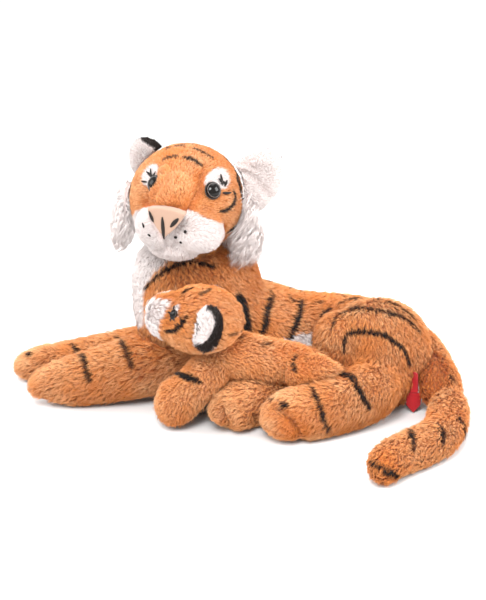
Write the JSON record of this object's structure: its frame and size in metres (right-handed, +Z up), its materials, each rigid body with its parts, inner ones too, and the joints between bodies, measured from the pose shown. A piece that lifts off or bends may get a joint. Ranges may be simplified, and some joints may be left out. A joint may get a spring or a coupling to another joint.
{
  "type": "plush toy",
  "caption": "Stuffed plush tiger lying on its belly with a cub leaning on its chest; sewn limbs, head, ears and tails that give, plastic eyes and a bare hang label.",
  "frame": {"origin": "on the flat of the belly where the tiger lies, in the middle of its trunk", "axes": "+Z up, -X towards the tiger's chest and forepaws, -Y its left side with the cub"},
  "size_m": [0.4119, 0.2517, 0.2449],
  "materials": {
    "orange_pile": "soft orange plush pile with dark stripes",
    "white_pile": "soft white plush pile",
    "nose_cloth": "flat peach cloth with stitched lines",
    "eye_plastic": "glossy black safety eye",
    "washer_plastic": "natural moulded washer",
    "red_cloth": "bare red woven ribbon and card"
  },
  "bodies": {
    "trunk": {"mother_trunk": "orange_pile", "mother_chest": "orange_pile", "mother_hindleg_right": "orange_pile"},
    "head": {"mother_head": "orange_pile", "mother_muzzle_left": "white_pile", "mother_muzzle_right": "white_pile", "mother_chin": "white_pile", "mother_nose": "nose_cloth", "mother_eye_left": "eye_plastic", "mother_eye_right": "eye_plastic", "mother_eye_washer_left": "washer_plastic", "mother_eye_washer_right": "washer_plastic", "mother_ruff_left": "white_pile", "mother_ruff_right": "white_pile"},
    "ear_left": {"mother_ear_left": "white_pile"},
    "ear_right": {"mother_ear_right": "white_pile"},
    "foreleg_left": {"mother_foreleg_left": "orange_pile"},
    "foreleg_right": {"mother_foreleg_right": "orange_pile"},
    "hindleg_left": {"mother_hindleg_left": "orange_pile", "hang_ribbon": "red_cloth"},
    "label": {"hang_label": "red_cloth"},
    "tail_root": {"mother_tail_root": "orange_pile"},
    "tail_end": {"mother_tail_end": "orange_pile"},
    "cub": {"cub_trunk": "orange_pile", "cub_foreleg_right": "orange_pile", "cub_hindleg_left": "orange_pile", "cub_hindleg_right": "orange_pile", "cub_tail": "orange_pile"},
    "cub_head": {"cub_head": "orange_pile", "cub_muzzle": "white_pile", "cub_nose": "nose_cloth", "cub_eye_left": "eye_plastic", "cub_eye_right": "eye_plastic", "cub_ear_right": "white_pile"},
    "cub_ear": {"cub_ear_left": "white_pile"},
    "cub_foreleg": {"cub_foreleg_left": "orange_pile"}
  },
  "joints": [
    {"name": "head_turn", "type": "hinge", "parent": "trunk", "child": "head", "pos_m": [-0.09106, -0.02516, 0.19352], "axis": [0.0872, 0, 0.9962], "range_deg": [-20, 20], "stiffness_Nm_per_rad": 0.05},
    {"name": "ear_left_fold", "type": "hinge", "parent": "head", "child": "ear_left", "pos_m": [-0.05214, -0.01794, 0.20039], "axis": [0.1549, 0.0998, -0.9829], "range_deg": [-15, 15], "stiffness_Nm_per_rad": 0.01},
    {"name": "ear_right_fold", "type": "hinge", "parent": "head", "child": "ear_right", "pos_m": [-0.11463, -0.00806, 0.21395], "axis": [0.5582, -0.1942, 0.8067], "range_deg": [-15, 15], "stiffness_Nm_per_rad": 0.01},
    {"name": "foreleg_left_spread", "type": "hinge", "parent": "trunk", "child": "foreleg_left", "pos_m": [-0.10888, -0.05548, 0.044], "axis": [0, 0, 1], "range_deg": [0, 25], "stiffness_Nm_per_rad": 0.03},
    {"name": "foreleg_right_spread", "type": "hinge", "parent": "trunk", "child": "foreleg_right", "pos_m": [-0.11056, 0.04298, 0.039], "axis": [0, 0, 1], "range_deg": [-25, 0], "stiffness_Nm_per_rad": 0.03},
    {"name": "hindleg_left_spread", "type": "hinge", "parent": "trunk", "child": "hindleg_left", "pos_m": [0.12124, -0.03384, 0.0515], "axis": [0, 0, 1], "range_deg": [0, 10], "stiffness_Nm_per_rad": 0.05},
    {"name": "label_swing", "type": "hinge", "parent": "hindleg_left", "child": "label", "pos_m": [0.11206, -0.05616, 0.0199], "axis": [1, 0, 0], "range_deg": [-30, 30]},
    {"name": "tail_swing", "type": "hinge", "parent": "trunk", "child": "tail_root", "pos_m": [0.11368, -0.00282, 0.042], "axis": [0, 0, 1], "range_deg": [0, 15], "stiffness_Nm_per_rad": 0.03},
    {"name": "tail_bend", "type": "hinge", "parent": "tail_root", "child": "tail_end", "pos_m": [0.14286, -0.07509, 0.0175], "axis": [0, 0, 1], "range_deg": [-10, 15], "stiffness_Nm_per_rad": 0.02},
    {"name": "cub_lift", "type": "slide", "parent": "trunk", "child": "cub", "axis": [0.4505, -0.4505, 0.7708], "range_m": [0, 0.09]},
    {"name": "cub_head_turn", "type": "hinge", "parent": "cub", "child": "cub_head", "pos_m": [-0.07865, -0.08784, 0.10496], "axis": [0, 0, 1], "range_deg": [-8, 8], "stiffness_Nm_per_rad": 0.02},
    {"name": "cub_ear_fold", "type": "hinge", "parent": "cub_head", "child": "cub_ear", "pos_m": [-0.06901, -0.11511, 0.10825], "axis": [0, 0, 1], "range_deg": [-12, 12], "stiffness_Nm_per_rad": 0.003},
    {"name": "cub_foreleg_spread", "type": "hinge", "parent": "cub", "child": "cub_foreleg", "pos_m": [-0.06444, -0.10024, 0.041], "axis": [0, 0, 1], "range_deg": [0, 12], "stiffness_Nm_per_rad": 0.01}
  ]
}
